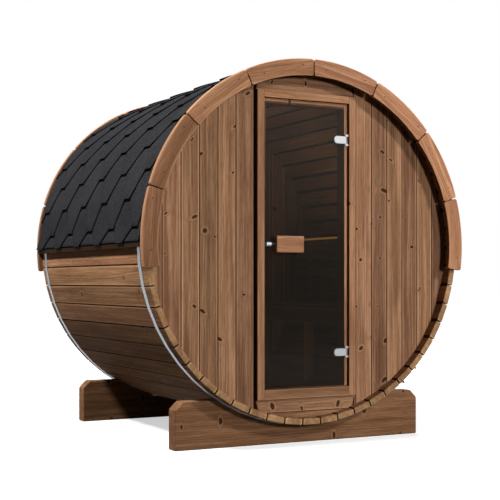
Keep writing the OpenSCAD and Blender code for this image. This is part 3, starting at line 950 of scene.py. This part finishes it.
work = new_timber()
for node in ("band_front", "band_rear"):
    low, high = depth_of(node)
    tightener(work, (low + high) / 2, high - low)
settle("band_tightener_fittings", work, "sauna", ["band_tighteners"],
       [DARK_STEEL, DARK_STEEL])

# %% [markdown]
# ## The shingled roof
# Bitumen shingles come as strips cut into six-sided tabs. Each course is nailed over
# the one below and shifted half a tab, so the flat foot of every tab sits exactly in a
# notch of the course beneath. A picture of lines would look flat from the side, so the
# courses are real: each is a thin bent sheet with a zigzag lower edge, lifted at its
# foot by the course under it. The lowest course is trimmed level at the eaves, and
# ridge pieces cap the top.

# %% Shingles
EXPOSURE = 0.156
TAB = 0.348
FLAT = TAB / 4
LAP = 0.0072
FIRST_FOOT = 0.084
ROOF_R = 1.022
ROOF_TOP = ROOF_R * pi / 2 - 0.005
ROOF_FRONT, ROOF_BACK = depth_of("roof_ridge")
ROOF_INSET = 0.0005
FLAT_MIDDLE = 0.1255
ROOF_SURFACE = ROOF_R + 0.004
EAVES_R = span_of("roof_low_right")[1] + 0.47 * LAP - 0.0002
ROWS = 9


def foot_height(y, shifted):
    """How far the zigzag rises above the tab's foot, as a share of the exposure."""
    t = ((y - RING_FRONT - FLAT_MIDDLE - (TAB / 2 if shifted else 0)) / FLAT + 0.5) % 4
    if t < 1:
        return 0.0
    if t < 2:
        return t - 1
    return 1.0 if t < 3 else 4 - t


def course_stops(shifted):
    """Depths where the zigzag turns, each one doubled a hair apart to keep its corner."""
    start = RING_FRONT + FLAT_MIDDLE - FLAT / 2 - TAB + (TAB / 2 if shifted else 0)
    stops = [ROOF_FRONT + ROOF_INSET, ROOF_BACK - ROOF_INSET]
    k = 0
    while start + k * FLAT < ROOF_BACK:
        stops += [start + (k + part) * FLAT for part in (0.0, 0.0001)]
        k += 1
    return sorted(y for y in stops if stops[0] <= y <= stops[1])


def roof_radius(arc):
    """The roof's surface, which leaves the circle near the eaves to throw water clear."""
    return ROOF_SURFACE + max(0.0, 1 - arc / FIRST_FOOT) * (EAVES_R - ROOF_SURFACE)


def add_course(work, foot, shifted, side):
    tones = work.verts.layers.float["tone"]
    tone = random.random()
    top = foot + EXPOSURE * 2.2
    columns = []
    for y in course_stops(shifted):
        start = foot + EXPOSURE * foot_height(y, shifted)
        start = max(start, 0.0 if foot > -EXPOSURE else 0.005)
        outer, under = [], []
        for i in range(ROWS):
            arc = start + (min(top, ROOF_TOP) - start) * i / (ROWS - 1)
            radius = roof_radius(arc) - LAP * min(1.02 * (arc - foot) / EXPOSURE, 2.0)
            angle = arc / ROOF_R
            angle = pi - angle if side < 0 else angle
            outer.append(work.verts.new(round_place(radius, angle, y)))
            under.append(work.verts.new(round_place(radius - LAP, angle, y)))
        for vert in outer + under:
            vert[tones] = tone
        columns.append((outer, under))
    for (outer, under), (outer2, under2) in zip(columns, columns[1:]):
        for i in range(ROWS - 1):
            work.faces.new((outer[i], outer2[i], outer2[i + 1], outer[i + 1]))
        work.faces.new((outer[0], under[0], under2[0], outer2[0])).material_index = 1
    for outer, under in (columns[0], columns[-1]):
        for i in range(ROWS - 1):
            work.faces.new((outer[i], outer[i + 1], under[i + 1], under[i])).material_index = 1


def shingled_side(name, side, nodes):
    work = new_timber()
    foot, shifted, courses = FIRST_FOOT - 2 * EXPOSURE, False, 0
    while foot < ROOF_TOP - 0.10:
        add_course(work, foot, shifted, side)
        foot, shifted, courses = foot + EXPOSURE, not shifted, courses + 1
    settle(name, work, "sauna", nodes, [SHINGLE, SHINGLE_EDGE])
    return courses


laid = shingled_side("shingles_left", -1, ["roof_low_left", "roof_high_left"])
laid += shingled_side("shingles_right", 1, ["roof_low_right", "roof_high_right"])
print("courses of shingles:", laid)

# %% Ridge
CAP_COUNT = 10
CAP_REACH = 0.13
CAP_LIFT, CAP_REST = 0.0038, 0.0005
CAP_OVERLAP = 1.02
work = new_timber()
tones = work.verts.layers.float["tone"]
pitch = (ROOF_BACK - ROOF_FRONT - 4 * ROOF_INSET) / CAP_COUNT
half = CAP_REACH / ROOF_R
for k in range(CAP_COUNT):
    front = ROOF_FRONT + 2 * ROOF_INSET + k * pitch
    back = min(front + pitch * CAP_OVERLAP, ROOF_BACK - ROOF_INSET)
    tone = random.random()
    columns = []
    for i in range(ROWS):
        angle = pi / 2 - half + 2 * half * i / (ROWS - 1)
        quad = [round_place(ROOF_SURFACE + lift, angle, y)
                for lift, y in ((CAP_LIFT, front), (CAP_REST, back),
                                (CAP_REST - LAP, back), (CAP_LIFT - LAP, front))]
        columns.append([work.verts.new(point) for point in quad])
    for i, face in enumerate(skin(work, columns)):
        face.material_index = 0 if i % 4 == 0 else 1
    for column in (columns[0], columns[-1]):
        work.faces.new(column).material_index = 1
    for column in columns:
        for vert in column:
            vert[tones] = tone
settle("ridge_caps", work, "sauna", ["roof_ridge"], [SHINGLE, SHINGLE_EDGE])

# %% [markdown]
# ## Eaves
# A batten along each side holds the lowest shingles away from the staves, so that rain
# drips clear, and a folded drip edge covers its top.

# %% Eaves battens
# painted shade: the batten is darkened, as it lies in the shadow of the eaves
BATTEN_PAINTED_SHADE = -0.75
low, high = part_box("eaves_battens")
work = new_timber()
drip = bmesh.new()
tip = span_of("roof_low_right")[1]
for side in (-1, 1):
    left, right = sorted((side * (STAVE_R + 0.0025), side * high.x))
    bar(work, (left, low.y, low.z), (right, high.y, high.z), "y", 0.002, BATTEN_PAINTED_SHADE)
    fold = [(STAVE_R + 0.003, 0.0003), (tip - 0.014, 0.0003), (tip - 0.016, 0.004),
            (ROOF_R - 0.016, FIRST_FOOT)]
    ends = [[drip.verts.new((side * x, y, AXIS_Z + z)) for x, z in fold]
            for y in (low.y, high.y)]
    skin(drip, ends)
    for end in ends:
        drip.faces.new(end)
settle("eaves_batten_boards", work, "sauna", ["eaves_battens"],
       [FRAME_WOOD, END_WOOD])
settle("drip_edges", drip, "sauna", [], [SHINGLE_EDGE])

# %% [markdown]
# ## Inside
# Through the glass you make out a slatted bench with an apron, a slatted backrest and
# a thin line of warm light on top of it. The model already holds every board as its
# own solid, so the loop finds each separate solid, measures it, and lays a rounded
# board of the same size in its place. The posts, bearers and battens behind them hardly
# show, so they keep the model's solids in one plain tone.

# %% Benches and backrests
def islands(node):
    """Lowest and highest corner of each separate solid in a node."""
    work = bmesh.new()
    work.from_mesh(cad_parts[node].data)
    bmesh.ops.remove_doubles(work, verts=work.verts, dist=1e-5)
    work.verts.ensure_lookup_table()
    seen, found = set(), []
    for start in work.verts:
        if start.index in seen:
            continue
        stack, points = [start], []
        seen.add(start.index)
        while stack:
            vert = stack.pop()
            points.append(vert.co.copy())
            for edge in vert.link_edges:
                other = edge.other_vert(vert)
                if other.index not in seen:
                    seen.add(other.index)
                    stack.append(other)
        low = Vector([min(p[i] for p in points) for i in range(3)])
        high = Vector([max(p[i] for p in points) for i in range(3)])
        found.append((low, high))
    work.free()
    return found


def inside_boards(node, grain_axis):
    work = new_timber()
    boards = islands(node)
    for low, high in boards:
        bar(work, low, high, grain_axis, arris=0.004)
    settle(node + "_boards", work, "sauna", [node], [BENCH_WOOD, END_WOOD])
    return len(boards)


total = sum(inside_boards(node, "y") for node in ("bench_seats", "bench_aprons", "backrest_slats"))
print("boards inside:", total)


INSIDE_TONE = 0.35


def plain_timber(node):
    """Gives a CAD node the bench timber in one tone, with no grain coordinates."""
    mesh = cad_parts[node].data
    tone = mesh.attributes.new("tone", "FLOAT", "POINT")
    for point in tone.data:
        point.value = INSIDE_TONE
    mesh.materials.clear()
    mesh.materials.append(BENCH_WOOD)


for node in ("bench_bearers", "bench_posts", "backrest_battens"):
    plain_timber(node)

work = new_timber()
for low, high in islands("light_strips"):
    bar(work, low, high, "y", arris=0.003)
settle("light_strip_diffusers", work, "sauna", ["light_strips"], [GLOW, GLOW])

# %% [markdown]
# ## Floor, lamps and camera
# The picture is a plain studio with a pale floor. The key lamp stands low in front, a
# second hangs high on the right, a third high on the left picks out the staves under
# the eaves, and a fourth lights the back. Two faint lamps by the benches and one near
# the floor inside stand in for the daylight that gets in. The floor is pale to the eye
# but sends back less light than it seems to, so the barrel's underside stays dark.

# %% Studio
FLOOR_BOUNCE = shade(0.03, 0.029, 0.028)
FLOOR_PALE = shade(0.55, 0.55, 0.55)
WORLD_LIGHT = 0.048
LAMPS = (  # name, place, where it points, size, power
    ("key", (1.2, -9.6, 2.4), (0, 0, 1.0), 1.0, 375),
    ("high", (4.4, -7.6, 5.6), (0, 0, 1.0), 1.1, 470),
    ("side", (-5.2, -0.6, 7.6), (-0.8, 0, 1.0), 0.8, 1000),
    ("back", (5.0, 6.5, 4.5), (0, 0, 1.0), 2.5, 560))
INSIDE_LAMPS = (  # the same, with a colour
    ("bench_glow_left", (-0.80, 0, AXIS_Z + 0.12), (-0.2, 0, AXIS_Z + 0.9), 0.25, 2.0,
     (1.0, 0.90, 0.78)),
    ("bench_glow_right", (0.80, 0, AXIS_Z + 0.12), (0.2, 0, AXIS_Z + 0.9), 0.25, 2.0,
     (1.0, 0.90, 0.78)),
    ("floor_glow", (0, -0.35, 0.42), (0, 0.5, 0.45), 0.2, 0.9, (1.0, 0.90, 0.76)))


def seen_directly(tree):
    """1 for rays that show a thing straight on, in a reflection or through glass."""
    path = tree.nodes.new("ShaderNodeLightPath")
    value = path.outputs["Is Camera Ray"]
    for ray in ("Is Glossy Ray", "Is Transmission Ray"):
        node = tree.nodes.new("ShaderNodeMath")
        node.operation = "MAXIMUM"
        tree.links.new(value, node.inputs[0])
        tree.links.new(path.outputs[ray], node.inputs[1])
        value = node.outputs[0]
    return value


work = bmesh.new()
bmesh.ops.create_grid(work, x_segments=8, y_segments=8, size=40.0)
s = Shader("pale_floor")
seen = seen_directly(s.tree)
away = s.add("VectorMath", {0: s.where()}, out="Value", operation="LENGTH")
glow = s.scaled(s.step(away, 1.2, 5.0), 0.42, 0.58)
pale = s.finish({
    "Base Color": s.blend(seen, FLOOR_BOUNCE, FLOOR_PALE), "Roughness": 0.9,
    "Specular IOR Level": 0.0, "Emission Color": shade(1, 1, 1),
    "Emission Strength": s.times(seen, glow)})
floor = put_down("studio_floor", work, [pale])


def lamp(name, place, aim, size, power, colour=(1, 1, 1)):
    data = bpy.data.lights.new(name, "AREA")
    data.shape = "SQUARE"
    data.size = size
    data.energy = power
    data.color = colour
    light = bpy.data.objects.new(name, data)
    light.location = place
    light.rotation_euler = (Vector(aim) - Vector(place)).to_track_quat("-Z", "Y").to_euler()
    bpy.context.scene.collection.objects.link(light)
    return light


for values in LAMPS:
    lamp(*values)
for values in INSIDE_LAMPS:
    glow = lamp(*values)
    glow.visible_camera = False
    glow.visible_transmission = False
print("lamps:", len(LAMPS) + len(INSIDE_LAMPS))

world = bpy.data.worlds.new("studio")
bpy.context.scene.world = world
world.use_nodes = True
sky = world.node_tree
back = sky.nodes["Background"]
back.inputs["Color"].default_value = (1, 1, 1, 1)
level = sky.nodes.new("ShaderNodeMapRange")
sky.links.new(seen_directly(sky), level.inputs["Value"])
level.inputs["To Min"].default_value = WORLD_LIGHT
level.inputs["To Max"].default_value = 1.0
sky.links.new(level.outputs[0], back.inputs["Strength"])

# %% Camera
SENSOR = 36.0
FOCAL_SHARE = 2.2551
EYE = (-3.232, RING_FRONT - 5.3695, AXIS_Z - 0.2071)
EYE_TURN = radians(-27.83)
camera_data = bpy.data.cameras.new("camera")
camera_data.sensor_width = SENSOR
camera_data.lens = SENSOR * FOCAL_SHARE
camera_data.shift_x = -0.002
camera_data.shift_y = 0.0636
camera = bpy.data.objects.new("camera", camera_data)
camera.location = EYE
camera.rotation_euler = (radians(90), 0, EYE_TURN)
bpy.context.scene.collection.objects.link(camera)
bpy.context.scene.camera = camera
bpy.context.scene.view_settings.view_transform = "Standard"
